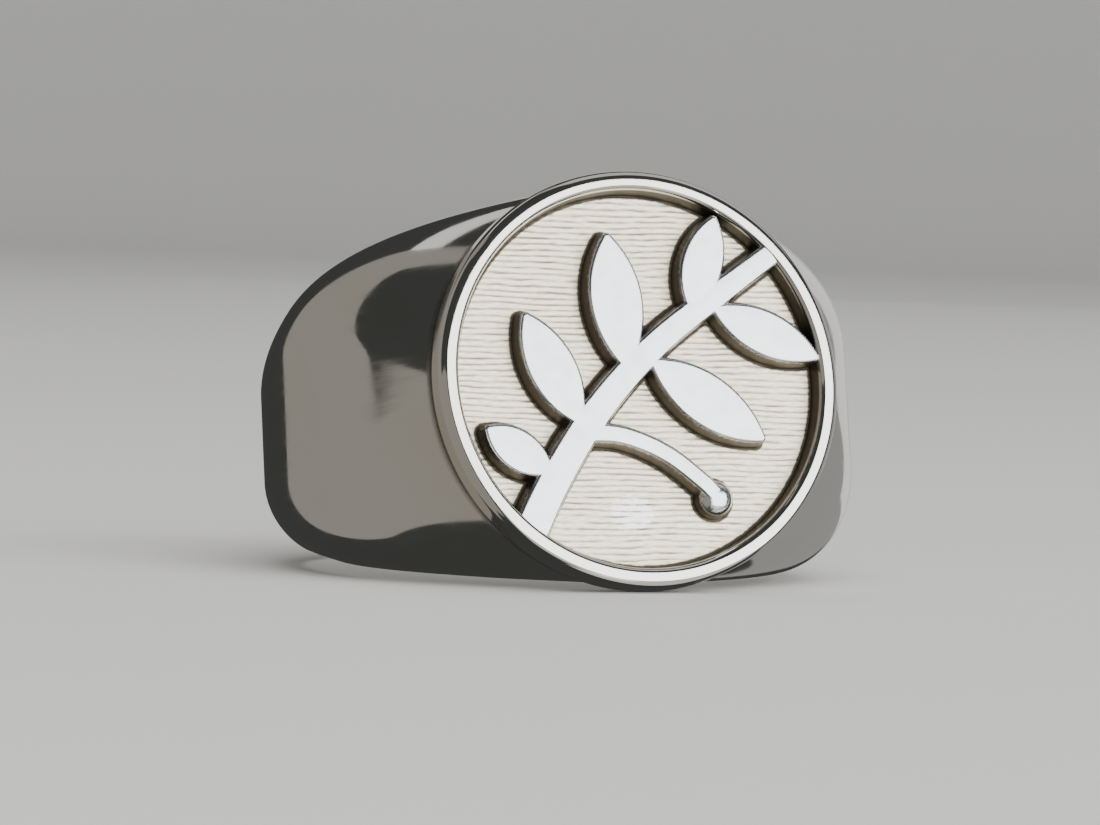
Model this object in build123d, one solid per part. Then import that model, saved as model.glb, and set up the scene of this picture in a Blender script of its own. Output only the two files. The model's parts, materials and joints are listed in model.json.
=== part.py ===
from build123d import *
import math
import os

# A round-faced signet ring lying on its side, in millimetres.
#
# Bench coordinates, used while the pieces are made: the finger bore runs along Y, X goes across
# the shoulders and Z points out of the face. The bore's centre is the origin. The finished pieces
# are then laid on the lower edge of the band and the face, as the ring lies on a table: +Z is up,
# the face looks towards -Y, and the origin is the middle of the footprint on the table.

# Finger bore and band outline
BORE_RADIUS = 9.9            # finger size about US 10
BACK_THICKNESS = 1.8         # wall behind the finger
WIDEST_HEIGHT = 2.5          # how far above the bore's centre the ring is widest
WIDEST_HALF = 12.25          # half of the width across the shoulders
SEAT_HEIGHT = 11.5           # flat seat on which the round face is built
SEAT_HALF = 8.55             # half of the width across the shoulders at the seat

# Band width along the finger
BACK_HALF_WIDTH = 3.0
EDGE_ROUND_SIDE = 3.6        # rounding of the band's outer edges where it is widest
EDGE_ROUND_BACK = 1.4        # the same rounding behind the finger
SQUARENESS = 3.2             # how late the square shoulders turn into the round seat

# Round face
FACE_RADIUS = 8.65
FACE_HEIGHT = 12.9           # crest of the rim above the bore's centre
RIM_CREST_RADIUS = 8.12
RIM_EDGE_HEIGHT = FACE_HEIGHT - (FACE_RADIUS - RIM_CREST_RADIUS)
RIM_INNER_RADIUS = 7.86      # inner edge at the top of the rim's wall
RIM_INNER_HEIGHT = 12.68
GROUND_RADIUS = 7.74         # foot of the rim's inner wall
GROUND_HEIGHT = 11.95        # textured ground between the relief strokes

# Applied relief on the ground
RELIEF_HEIGHT = 0.9
RELIEF_DRAFT = 7             # degrees, the slope of the strokes' walls
LEAF_TIP_ROUND = 0.35
BERRY_RADIUS = 0.82
BERRY_ROUND = 0.45           # rounding of the berry's top edge
BERRY_CENTRE = (3.1, -4.9)

# Solder joints between the bench pieces
HEAD_JOINT_ANGLE = 34        # degrees from the face's normal to each side of the head block
SECTION_STEPS = 8            # sections along each half of the band
HEAD_STEPS = 7

BACK_DROP = WIDEST_HEIGHT + BORE_RADIUS + BACK_THICKNESS
SHOULDER_RISE = (SEAT_HEIGHT - WIDEST_HEIGHT) / math.sqrt(1 - (SEAT_HALF / WIDEST_HALF) ** 2)
WIDTH_SLOPE = (FACE_RADIUS - BACK_HALF_WIDTH) / (RIM_EDGE_HEIGHT + BORE_RADIUS + BACK_THICKNESS)


def half_width(height):
    """Half of the band's width along the finger, in a straight taper from the face to the back."""
    return BACK_HALF_WIDTH + WIDTH_SLOPE * (height + BORE_RADIUS + BACK_THICKNESS)


def head_section(height):
    """A level slice of the head: square-shouldered low down, nearly a circle at the seat."""
    across = WIDEST_HALF * math.sqrt(1 - ((height - WIDEST_HEIGHT) / SHOULDER_RISE) ** 2)
    along = half_width(height)
    ripeness = (height - WIDEST_HEIGHT) / (SEAT_HEIGHT - WIDEST_HEIGHT)
    largest = min(across, along) - 0.04
    corner = EDGE_ROUND_SIDE + (largest - EDGE_ROUND_SIDE) * ripeness ** (SQUARENESS / 2)
    return Plane.XY.offset(height) * RectangleRounded(2 * across, 2 * along, corner)


def shank_section(turn):
    """A slice through the shank at a turn in degrees from +X towards the back of the finger."""
    cosine = math.cos(math.radians(turn))
    sine = math.sin(math.radians(turn))
    outer = 1 / math.hypot(cosine / WIDEST_HALF, sine / BACK_DROP)
    bore = WIDEST_HEIGHT * sine + math.sqrt(BORE_RADIUS**2 - (WIDEST_HEIGHT * cosine) ** 2)
    inner = bore - 2.5
    outer_half = half_width(WIDEST_HEIGHT - outer * sine)
    inner_half = half_width(WIDEST_HEIGHT - inner * sine)
    outline = Polyline((inner, -inner_half), (outer, -outer_half), (outer, outer_half),
                       (inner, inner_half), close=True)
    face = make_face(outline)
    corner = EDGE_ROUND_SIDE + (EDGE_ROUND_BACK - EDGE_ROUND_SIDE) * sine**2
    face = fillet(face.vertices().sort_by(Axis.X)[-2:], corner)
    place = Plane(origin=(0, 0, WIDEST_HEIGHT), x_dir=(cosine, 0, -sine), z_dir=(sine, 0, cosine))
    return place * face


def bore_cutter():
    """The finger hole, long enough to pass through every piece."""
    return Plane.XZ * Cylinder(BORE_RADIUS, 4 * FACE_RADIUS)


def make_shank():
    """The back half of the band, from one side joint round behind the finger to the other."""
    turns = [180 * step / (2 * SECTION_STEPS) for step in range(2 * SECTION_STEPS + 1)]
    return loft([shank_section(turn) for turn in turns]) - bore_cutter()


def make_head():
    """Both shoulders and the block under the face, before they are cut apart."""
    rise = SEAT_HEIGHT - WIDEST_HEIGHT
    heights = [WIDEST_HEIGHT + rise * math.sin(math.pi / 2 * step / HEAD_STEPS)
               for step in range(HEAD_STEPS + 1)]
    return loft([head_section(height) for height in heights]) - bore_cutter()


def cut_apart(head):
    """The head block and the two shoulders that are soldered to its slanting sides."""
    long = 4 * FACE_RADIUS
    reach = 2 * (SEAT_HEIGHT - WIDEST_HEIGHT)
    spread = reach * math.tan(math.radians(HEAD_JOINT_ANGLE))
    tip = (0, WIDEST_HEIGHT)
    up = WIDEST_HEIGHT + reach
    middle = make_face(Polyline(tip, (spread, up), (-spread, up), close=True))
    side = make_face(Polyline(tip, (reach, WIDEST_HEIGHT), (reach, up), (spread, up), close=True))
    block_wedge = extrude(Plane.XZ * middle, long / 2, both=True)
    side_wedge = extrude(Plane.XZ * side, long / 2, both=True)
    return head & block_wedge, head & mirror(side_wedge, Plane.YZ), head & side_wedge


def make_face_plate():
    """The disc that closes the head and carries the ground."""
    thick = GROUND_HEIGHT - SEAT_HEIGHT
    return Pos(0, 0, SEAT_HEIGHT + thick / 2) * Cylinder(GROUND_RADIUS, thick)


def make_bezel_rim():
    """The raised rim: an upright outer wall, a rounded crest and a slightly leaning inner wall."""
    outer_wall = Polyline((GROUND_RADIUS, SEAT_HEIGHT), (FACE_RADIUS, SEAT_HEIGHT),
                          (FACE_RADIUS, RIM_EDGE_HEIGHT))
    crest_out = TangentArc((FACE_RADIUS, RIM_EDGE_HEIGHT), (RIM_CREST_RADIUS, FACE_HEIGHT),
                           tangent=(0, 1))
    crest_in = TangentArc((RIM_CREST_RADIUS, FACE_HEIGHT), (RIM_INNER_RADIUS, RIM_INNER_HEIGHT),
                          tangent=(-1, 0))
    inner_wall = Polyline((RIM_INNER_RADIUS, RIM_INNER_HEIGHT), (GROUND_RADIUS, GROUND_HEIGHT),
                          (GROUND_RADIUS, SEAT_HEIGHT))
    profile = make_face(outer_wall + crest_out + crest_in + inner_wall)
    return revolve(Plane.XZ * profile, Axis.Z)


def ribbon(points, start_width, end_width):
    """The flat outline of a curved stroke without its ends, from the points of its middle line."""
    last = len(points) - 1
    left = []
    right = []
    for index, (x, y) in enumerate(points):
        before = points[max(index - 1, 0)]
        after = points[min(index + 1, last)]
        length = math.dist(before, after)
        half = (start_width + (end_width - start_width) * index / last) / 2
        aside = ((before[1] - after[1]) / length * half, (after[0] - before[0]) / length * half)
        left.append((x + aside[0], y + aside[1]))
        right.append((x - aside[0], y - aside[1]))
    return make_face(Spline(*left) + Line(left[-1], right[-1]) + Spline(*reversed(right))
                     + Line(right[0], left[0]))


def stroke(points, start_width, end_width):
    """A relief stroke that stands on the ground, with leaning walls and round ends."""
    draw_in = 2 * RELIEF_HEIGHT * math.tan(math.radians(RELIEF_DRAFT))
    foot = Pos(0, 0, GROUND_HEIGHT) * ribbon(points, start_width, end_width)
    top = ribbon(points, start_width - draw_in, end_width - draw_in)
    body = loft([foot, Pos(0, 0, GROUND_HEIGHT + RELIEF_HEIGHT) * top])
    for (x, y), width in ((points[0], start_width), (points[-1], end_width)):
        body += Pos(x, y, GROUND_HEIGHT) * Cone(
            width / 2, (width - draw_in) / 2, RELIEF_HEIGHT,
            align=(Align.CENTER, Align.CENTER, Align.MIN))
    return body


def blade(start, tip, width):
    """A flat leaf outline along X with two evenly curved sides and a blunt tip."""
    belly = start + 0.45 * (tip - start)
    sides = ThreePointArc((start, 0), (belly, width / 2), (tip, 0))
    sides += ThreePointArc((tip, 0), (belly, -width / 2), (start, 0))
    face = make_face(sides)
    return fillet(face.vertices().sort_by(Axis.X)[-1], LEAF_TIP_ROUND)


def leaf(base, angle, length, width):
    """A relief leaf that stands on the ground, from its base on the stem to its tip."""
    draw_in = RELIEF_HEIGHT * math.tan(math.radians(RELIEF_DRAFT))
    top = blade(draw_in, length - draw_in, width - 2 * draw_in)
    place = Pos(*base, GROUND_HEIGHT) * Rot(0, 0, angle)
    return place * loft([blade(0, length, width), Pos(0, 0, RELIEF_HEIGHT) * top])


def make_relief():
    """The sprig on the ground, piece by piece: each is filed to fit the ones set before it."""
    stem = stroke([(-5.2, -6.6), (-3.9, -4.2), (-1.9, -1.3), (0.7, 1.4), (3.6, 3.6), (6.4, 5.6)],
                  1.7, 1.15)
    berry = Pos(*BERRY_CENTRE, GROUND_HEIGHT) * Cylinder(
        BERRY_RADIUS, RELIEF_HEIGHT, align=(Align.CENTER, Align.CENTER, Align.MIN))
    berry = fillet(berry.edges().group_by(Axis.Z)[-1], BERRY_ROUND)
    rough = {
        "sprig_stem": stem,
        "sprig_berry": berry,
        "sprig_leaf_first": leaf((-3.9, -4.1), 146, 3.7, 1.9),
        "sprig_leaf_second": leaf((-2.6, -2.2), 116, 5.6, 2.3),
        "sprig_leaf_third": leaf((-0.6, 0.1), 96, 6.2, 2.5),
        "sprig_leaf_fourth": leaf((2.2, 2.6), 72, 4.7, 2.0),
        "sprig_leaf_fifth": leaf((3.0, 3.1), -24, 5.6, 2.1),
        "sprig_leaf_sixth": leaf((0.2, 0.9), -34, 6.4, 2.4),
        "sprig_berry_stalk": stroke([(-2.6, -2.3), (-0.9, -2.4), (0.9, -3.1), (2.4, -4.2),
                                     BERRY_CENTRE], 1.0, 0.9),
    }
    inside_rim = Pos(0, 0, GROUND_HEIGHT) * Cone(
        GROUND_RADIUS, RIM_INNER_RADIUS, RIM_INNER_HEIGHT - GROUND_HEIGHT,
        align=(Align.CENTER, Align.CENTER, Align.MIN))
    inside_rim += Pos(0, 0, RIM_INNER_HEIGHT) * Cylinder(
        RIM_INNER_RADIUS, FACE_HEIGHT - RIM_INNER_HEIGHT,
        align=(Align.CENTER, Align.CENTER, Align.MIN))
    pieces = {}
    for name, piece in rough.items():
        piece = piece & inside_rim
        for earlier in pieces.values():
            piece = piece - earlier
        pieces[name] = piece
    return pieces


def lay_down(pieces):
    """Turn the ring from bench coordinates onto the table, where it lies on its face and band."""
    lean = math.degrees(math.atan(WIDTH_SLOPE))
    turn = Rot(-lean, 0, 0) * Rot(90, 0, 0)
    boxes = [(turn * piece).bounding_box() for piece in pieces.values()]
    low = [min(tuple(box.min)[side] for box in boxes) for side in range(3)]
    high = [max(tuple(box.max)[side] for box in boxes) for side in range(3)]
    place = Pos(-(low[0] + high[0]) / 2, -(low[1] + high[1]) / 2, -low[2]) * turn
    return {name: place * piece for name, piece in pieces.items()}, place


def main():
    """Make every piece, lay the ring down, and write one STEP file for each piece."""
    head_block, left_shoulder, right_shoulder = cut_apart(make_head())
    pieces = {
        "shank": make_shank(),
        "left_shoulder": left_shoulder,
        "right_shoulder": right_shoulder,
        "head_block": head_block,
        "face_plate": make_face_plate(),
        "bezel_rim": make_bezel_rim(),
    }
    pieces.update(make_relief())
    laid, place = lay_down(pieces)
    os.makedirs("parts", exist_ok=True)
    for name, piece in laid.items():
        export_step(piece, f"parts/{name}.step")
    tip = place * Pos(0, 1, 0)
    print("bore centre", place.position, "bore axis", tip.position - place.position)


main()
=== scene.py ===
"""A silver signet ring lying on its side: polished band, raised rim, lined satin ground and applied sprig.

Every piece is worked out in the jeweller's bench axes, in millimetres: the finger bore runs along Y, X goes
across the shoulders and Z points out of the round face, with the origin at the bore's centre. The last step
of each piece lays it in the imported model's own frame, in metres.
"""

import json
import logging
import math
from dataclasses import dataclass
from enum import Enum

import bmesh
import bpy
import numpy as np
from mathutils import Matrix, Vector
from mathutils.geometry import delaunay_2d_cdt

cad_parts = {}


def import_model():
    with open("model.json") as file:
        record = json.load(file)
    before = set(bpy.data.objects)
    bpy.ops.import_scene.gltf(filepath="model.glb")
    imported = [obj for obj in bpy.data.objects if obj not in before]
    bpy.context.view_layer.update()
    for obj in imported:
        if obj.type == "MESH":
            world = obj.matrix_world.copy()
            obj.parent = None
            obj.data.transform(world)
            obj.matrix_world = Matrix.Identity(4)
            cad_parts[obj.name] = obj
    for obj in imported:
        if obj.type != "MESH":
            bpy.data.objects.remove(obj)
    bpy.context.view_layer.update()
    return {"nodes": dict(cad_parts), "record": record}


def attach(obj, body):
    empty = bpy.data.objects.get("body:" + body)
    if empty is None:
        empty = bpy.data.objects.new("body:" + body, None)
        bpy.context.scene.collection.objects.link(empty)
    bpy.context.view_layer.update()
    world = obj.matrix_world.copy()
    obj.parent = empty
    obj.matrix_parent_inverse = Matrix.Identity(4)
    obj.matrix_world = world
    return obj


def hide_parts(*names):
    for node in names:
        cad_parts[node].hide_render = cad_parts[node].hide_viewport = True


LOG = logging.getLogger("signet_ring")
ROOT = "root"
MM = 0.001
Colour = tuple[float, float, float, float]


# ---------------------------------------------------------------- bench axes and meshes


@dataclass(frozen=True)
class Bench:
    """The bench axes, and how a piece made in them is laid in the model's frame."""

    matrix: Matrix
    bore_radius: float
    taper: float

    @classmethod
    def from_record(cls, record: dict) -> "Bench":
        """Read the bore's place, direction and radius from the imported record.

        Args:
            record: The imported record.

        Returns:
            The bench axes. The taper of the band is the slope at which the ring lies.
        """
        mount = next(m for m in record["mounts"] if m["name"] == "finger_bore")
        along = Vector(mount["axis"]).normalized()
        across = Vector((1, 0, 0))
        outwards = across.cross(along)
        turn = Matrix((across, along, outwards)).transposed().to_4x4()
        matrix = Matrix.Translation(mount["pos_m"]) @ turn @ Matrix.Scale(MM, 4)
        return cls(matrix, mount["dims"]["r_mm"], along.y / along.z)

    def node_box(self, node: bpy.types.Object) -> tuple[np.ndarray, np.ndarray]:
        """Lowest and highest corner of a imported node, in bench millimetres."""
        back = np.array(self.matrix.inverted())
        points = np.array([v.co for v in node.data.vertices]) @ back[:3, :3].T + back[:3, 3]
        return points.min(axis=0), points.max(axis=0)

    def point(self, x: float, y: float, z: float) -> Vector:
        """A bench point in the model's frame."""
        return self.matrix @ Vector((x, y, z))


class Slot(Enum):
    """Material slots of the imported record."""

    POLISHED = "polished_silver"
    GROUND = "satin_ground"
    RELIEF = "relief_silver"


@dataclass
class Shell:
    """A mesh in bench millimetres, with smooth normals and the darkening of its points, which is patina in
    the hollows and painted shade.

    Attributes:
        points: Vertex places, one row each.
        faces: Vertex numbers of each face.
        normals: One outward normal for each vertex.
        flat_faces: How many of the last faces are flat and keep their own normal.
        tarnish: How dark the metal is at each vertex, from 0 to 1, as patina in the hollows and painted
            shade.
    """

    points: np.ndarray
    faces: list[tuple[int, ...]]
    normals: np.ndarray
    flat_faces: int
    tarnish: np.ndarray

    def to_mesh(self, name: str, bench: Bench, material: bpy.types.Material) -> bpy.types.Mesh:
        """Lay the shell in the model's frame.

        Args:
            name: Name of the piece.
            bench: The bench axes.
            material: Finish of the whole piece.

        Returns:
            The finished mesh.
        """
        mesh = bpy.data.meshes.new(name)
        mesh.from_pydata(self.points.tolist(), [], self.faces)
        keep_bench_places(mesh)
        keep_tarnish_and_shade(mesh, self.tarnish)
        mesh.transform(bench.matrix)
        mesh.shade_smooth()
        self._set_normals(mesh, bench)
        mesh.materials.append(material)
        return mesh

    def _set_normals(self, mesh: bpy.types.Mesh, bench: Bench) -> None:
        """Give curved faces the shell's own normals, and flat ones theirs."""
        turn = np.array(bench.matrix.to_3x3()) / MM
        corners = np.empty(len(mesh.loops), np.int32)
        mesh.loops.foreach_get("vertex_index", corners)
        split = (self.normals @ turn.T)[corners]
        for polygon in list(mesh.polygons)[len(mesh.polygons) - self.flat_faces:]:
            for corner in polygon.loop_indices:
                split[corner] = polygon.normal
        mesh.normals_split_custom_set(split.tolist())


def vertex_places(mesh: bpy.types.Mesh) -> np.ndarray:
    """Places of a mesh's vertices, one row each."""
    places = np.empty(len(mesh.vertices) * 3, np.float32)
    mesh.vertices.foreach_get("co", places)
    return places.reshape(-1, 3)


def keep_bench_places(mesh: bpy.types.Mesh) -> None:
    """Keep each vertex's bench place in millimetres on the mesh, for the finishes to read."""
    layer = mesh.attributes.new("bench", "FLOAT_VECTOR", "POINT")
    layer.data.foreach_set("vector", vertex_places(mesh).ravel())


def keep_tarnish_and_shade(mesh: bpy.types.Mesh, tarnish: np.ndarray) -> None:
    """Keep each vertex's darkness from patina and painted shade on the mesh, for the finishes to read."""
    layer = mesh.attributes.new("tarnish", "FLOAT", "POINT")
    layer.data.foreach_set("value", tarnish.astype(np.float32))


def ramp(values: np.ndarray, low: float, high: float) -> np.ndarray:
    """Straight ramp from 0 at low to 1 at high, level beyond them."""
    return np.clip((values - low) / (high - low), 0, 1)


def add_object(mesh: bpy.types.Mesh) -> bpy.types.Object:
    """Show a mesh in the scene as an object of the same name."""
    made = bpy.data.objects.new(mesh.name, mesh)
    bpy.context.scene.collection.objects.link(made)
    return made


def add_piece(mesh: bpy.types.Mesh, node: str) -> None:
    """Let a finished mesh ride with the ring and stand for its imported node."""
    piece = add_object(mesh)
    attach(piece, ROOT)
    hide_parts(node)
    LOG.info("%s stands for %s: %d faces", piece.name, node, len(mesh.polygons))


def lay_baked(mesh: bpy.types.Mesh, bench: Bench, sharp_angle: float) -> None:
    """Lay a baked mesh in the model's frame, smooth but for edges that turn by more than an angle."""
    mesh.transform(bench.matrix)
    mesh.shade_smooth()
    mesh.set_sharp_from_angle(angle=math.radians(sharp_angle))


# ---------------------------------------------------------------- band


@dataclass(frozen=True)
class Band:
    """Shank, shoulders and head block, made as one skin round the bore and parted at the solder joints."""

    bench: Bench
    widest_height: float
    widest_half: float
    back_drop: float
    side_half_width: float
    seat_height: float
    seat_half: float
    side_round: float = 3.6
    back_round: float = 1.4
    squareness: float = 1.6
    bore_edge_round: float = 0.32
    seat_tuck: float = 0.12
    joint_angle: float = 34.0
    degrees_per_column: float = 0.6
    skin_rows: int = 110
    bore_rows: int = 12
    edge_rows: int = 7
    foot_shadow: float = 0.5
    least_flat: float = 0.04
    farthest_ray: float = 3.0
    halvings: int = 40

    @classmethod
    def from_frame(cls, bench: Bench, nodes: dict[str, bpy.types.Object]) -> "Band":
        """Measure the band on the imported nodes.

        Args:
            bench: The bench axes.
            nodes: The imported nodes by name.

        Returns:
            The band with its sizes in bench millimetres.
        """
        shank_low, shank_high = bench.node_box(nodes["shank"])
        rim_low, rim_high = bench.node_box(nodes["bezel_rim"])
        rim_overhang = 0.1
        return cls(
            bench=bench,
            widest_height=shank_high[2],
            widest_half=shank_high[0],
            back_drop=shank_high[2] - shank_low[2],
            side_half_width=shank_high[1],
            seat_height=rim_low[2],
            seat_half=rim_high[0] - rim_overhang,
        )

    def half_width(self, height: np.ndarray) -> np.ndarray:
        """Half of the band's width along the finger at a height."""
        return self.side_half_width + self.bench.taper * (height - self.widest_height)

    def depth_inside(self, rho: np.ndarray, along: np.ndarray, angle: np.ndarray) -> np.ndarray:
        """How deep a point lies under the outer skin.

        Args:
            rho: Distance from the line through the widest points.
            along: Place along the finger.
            angle: Direction from that line, from +X towards the face.

        Returns:
            The depth in millimetres, negative outside.
        """
        sine = np.sin(angle)
        height = self.widest_height + rho * sine
        half_along = self.half_width(height)
        tall = self.seat_height - self.widest_height
        rise = tall / math.sqrt(1 - (self.seat_half / self.widest_half) ** 2)
        past_seat = 1.05
        lift = np.clip((height - self.widest_height) / tall, 0, past_seat)
        across = self.widest_half * np.sqrt(1 - (lift * tall / rise) ** 2)
        largest = np.minimum(across, half_along) - self.least_flat
        head_corner = self.side_round + (largest - self.side_round) * np.minimum(lift, 1) ** self.squareness
        head = -rounded_distance(rho * np.abs(np.cos(angle)), np.abs(along), across, half_along, head_corner)
        head = np.minimum(head, self.seat_height + self.seat_tuck - height)
        outer = 1 / np.hypot(np.cos(angle) / self.widest_half, sine / self.back_drop)
        shank_corner = self.side_round + (self.back_round - self.side_round) * sine**2
        shank = -rounded_distance(rho, np.abs(along), outer, half_along, shank_corner)
        return np.where(sine >= 0, head, shank)

    def reach(self, start: np.ndarray, step: np.ndarray, angle: np.ndarray) -> np.ndarray:
        """Find where rays leave the skin, by halving.

        Args:
            start: Ray starts as (rho, along) in the last axis.
            step: Ray directions in the same form.
            angle: Direction of each ray's slice.

        Returns:
            The places on the skin, in the same form as start.
        """
        low = np.zeros(start.shape[:-1])
        high = np.full(start.shape[:-1], self.farthest_ray)
        for _ in range(self.halvings):
            middle = (low + high) / 2
            place = start + step * middle[..., None]
            inside = self.depth_inside(place[..., 0], place[..., 1], angle) > 0
            low = np.where(inside, middle, low)
            high = np.where(inside, high, middle)
        return start + step * low[..., None]

    def slices(self, angles: np.ndarray) -> np.ndarray:
        """Closed outlines of slices through the band.

        Args:
            angles: Directions of the slices in radians.

        Returns:
            Bench places, indexed by slice, then by row round the outline.
        """
        sine = np.sin(angles)
        bore = np.sqrt(self.bench.bore_radius**2 - (self.widest_height * np.cos(angles)) ** 2)
        bore = bore - self.widest_height * sine
        middle_start = np.stack([bore, np.zeros_like(bore)], axis=-1)
        outwards = np.broadcast_to(np.array([2.0, 0.0]), middle_start.shape)
        outer = self.reach(middle_start, outwards, angles)[:, 0]
        centre = (bore + outer) / 2
        edge_start = middle_start + np.array([self.bore_edge_round, 0.0])
        sideways = np.broadcast_to(np.array([0.0, 5.0]), middle_start.shape)
        half = self.reach(edge_start, sideways, angles)[:, 1]
        turn = np.linspace(0, math.pi / 2, self.edge_rows)
        edge_rho = bore[:, None] + self.bore_edge_round * (1 - np.cos(turn))
        edge_along = half[:, None] - self.bore_edge_round * (1 - np.sin(turn))
        tall = outer - centre
        first = np.arctan2(1.0, (edge_rho[:, -1] - centre) / tall)
        fan = first[:, None] * np.linspace(1, -1, self.skin_rows)
        step = np.stack([tall[:, None] * np.cos(fan), half[:, None] * np.sin(fan)], axis=-1)
        start = np.zeros_like(step)
        start[..., 0] = centre[:, None]
        skin = self.reach(start, step, np.broadcast_to(angles[:, None], fan.shape))
        inner_along = edge_along[:, :1] * np.linspace(-1, 1, self.bore_rows)[1:-1]
        inner = np.stack([np.broadcast_to(bore[:, None], inner_along.shape), inner_along], axis=-1)
        edge = np.stack([edge_rho, edge_along], axis=-1)
        far_edge = edge[:, ::-1] * np.array([1, -1])
        flat = np.concatenate([inner, edge[:, :-1], skin, far_edge[:, 1:]], axis=1)
        x = flat[..., 0] * np.cos(angles)[:, None]
        z = self.widest_height + flat[..., 0] * sine[:, None]
        return np.stack([x, flat[..., 1], z], axis=-1)

    def part(self, start: float, end: float) -> Shell:
        """One piece of the band between two solder joints.

        Args:
            start: Direction of its first joint in degrees.
            end: Direction of its last joint.

        Returns:
            The closed shell of the piece.
        """
        columns = round((end - start) / self.degrees_per_column)
        spare = (end - start) / columns
        angles = np.radians(np.linspace(start - spare, end + spare, columns + 3))
        grid = self.slices(angles)
        around = grid[2:] - grid[:-2]
        rows = grid[1:-1]
        across = np.roll(rows, -1, axis=1) - np.roll(rows, 1, axis=1)
        normals = np.cross(across, around)
        normals /= np.linalg.norm(normals, axis=-1, keepdims=True)
        count = rows.shape[1]
        if np.sum(normals * (rows - rows.mean(axis=1, keepdims=True))) < 0:
            normals = -normals
        faces = []
        for column in range(columns):
            here = column * count
            for row in range(count):
                after = (row + 1) % count
                faces.append((here + row, here + count + row, here + count + after, here + after))
        last = columns * count
        faces.append(tuple(range(count)))
        faces.append(tuple(range(last + count - 1, last - 1, -1)))
        points = rows.reshape(-1, 3)
        # Painted shade with patina: the band is darkened just below the rim's seat, where the head overhangs
        # it.
        below_rim = self.seat_height - points[:, 2]
        flat_ends = 2
        return Shell(points, faces, normals.reshape(-1, 3), flat_ends, ramp(below_rim, self.foot_shadow, 0.0))

    def make(self, material: bpy.types.Material) -> None:
        """Make the four pieces of the band."""
        spans = {
            "right_shoulder": (0.0, 90 - self.joint_angle),
            "head_block": (90 - self.joint_angle, 90 + self.joint_angle),
            "left_shoulder": (90 + self.joint_angle, 180.0),
            "shank": (180.0, 360.0),
        }
        for node, (start, end) in spans.items():
            mesh = self.part(start, end).to_mesh(f"{node}_skin", self.bench, material)
            add_piece(mesh, node)


def rounded_distance(x: np.ndarray, y: np.ndarray, half_x: np.ndarray, half_y: np.ndarray,
                     corner: np.ndarray) -> np.ndarray:
    """Signed distance from a rectangle with round corners, negative inside."""
    over_x = x - half_x + corner
    over_y = y - half_y + corner
    outside = np.hypot(np.maximum(over_x, 0), np.maximum(over_y, 0))
    return outside + np.minimum(np.maximum(over_x, over_y), 0) - corner


# ---------------------------------------------------------------- node trees


class Amount:
    """A value in a node tree that can be used in sums; each operator adds its Math node."""

    def __init__(self, desk: "Desk", socket: bpy.types.NodeSocket) -> None:
        """Wrap a socket of the desk's tree."""
        self.desk = desk
        self.socket = socket

    def _maths(self, operation: str, first: object, second: object) -> "Amount":
        """Add a Math node for two values."""
        made = self.desk.node("ShaderNodeMath", {"operation": operation}, {0: first, 1: second})
        return Amount(self.desk, made.outputs[0])

    def __add__(self, other: object) -> "Amount":
        """Sum."""
        return self._maths("ADD", self, other)

    __radd__ = __add__

    def __sub__(self, other: object) -> "Amount":
        """Difference."""
        return self._maths("SUBTRACT", self, other)

    def __rsub__(self, other: object) -> "Amount":
        """Difference from a number."""
        return self._maths("SUBTRACT", other, self)

    def __mul__(self, other: object) -> "Amount":
        """Product."""
        return self._maths("MULTIPLY", self, other)

    __rmul__ = __mul__

    def __truediv__(self, other: object) -> "Amount":
        """Quotient."""
        return self._maths("DIVIDE", self, other)

    def __gt__(self, other: object) -> "Amount":
        """1 where this value is the larger, else 0."""
        return self._maths("GREATER_THAN", self, other)

    def sine(self) -> "Amount":
        """Sine of the value in radians."""
        return self._maths("SINE", self, 0.0)

    def larger(self, other: object) -> "Amount":
        """The larger of two values."""
        return self._maths("MAXIMUM", self, other)

    def between(self, low: float, high: float) -> "Amount":
        """Smooth step from 0 at low to 1 at high."""
        flip = low > high
        made = self.desk.node("ShaderNodeMapRange", {"interpolation_type": "SMOOTHSTEP"},
                              {"Value": self, "From Min": min(low, high), "From Max": max(low, high),
                               "To Min": float(flip), "To Max": float(not flip)})
        return Amount(self.desk, made.outputs[0])


class Desk:
    """Adds and links the nodes of one tree."""

    def __init__(self, tree: bpy.types.NodeTree) -> None:
        """Start work on a tree."""
        self.tree = tree

    def node(self, kind: str, settings: dict | None = None, sockets: dict | None = None) -> bpy.types.Node:
        """Add a node.

        Args:
            kind: Type of the node.
            settings: Its own properties, set first.
            sockets: Values or links for its inputs, by name or number.

        Returns:
            The new node.
        """
        made = self.tree.nodes.new(kind)
        for key, value in (settings or {}).items():
            setattr(made, key, value)
        for key, value in (sockets or {}).items():
            self.feed(made.inputs[key], value)
        return made

    def feed(self, socket: bpy.types.NodeSocket, value: object) -> None:
        """Link an input or set its value."""
        if isinstance(value, Amount):
            value = value.socket
        if isinstance(value, bpy.types.NodeSocket):
            self.tree.links.new(value, socket)
        else:
            socket.default_value = value

    def split(self, vector: bpy.types.NodeSocket) -> tuple[Amount, Amount, Amount]:
        """The three parts of a vector."""
        made = self.node("ShaderNodeSeparateXYZ", None, {0: vector})
        return tuple(Amount(self, out) for out in made.outputs)

    def scaled(self, vector: bpy.types.NodeSocket, stretch: tuple[float, float, float]
               ) -> bpy.types.NodeSocket:
        """The vector scaled along each axis, which makes a pattern finer along the larger ones."""
        return self.node("ShaderNodeVectorMath", {"operation": "MULTIPLY"},
                         {0: vector, 1: stretch}).outputs[0]


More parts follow.
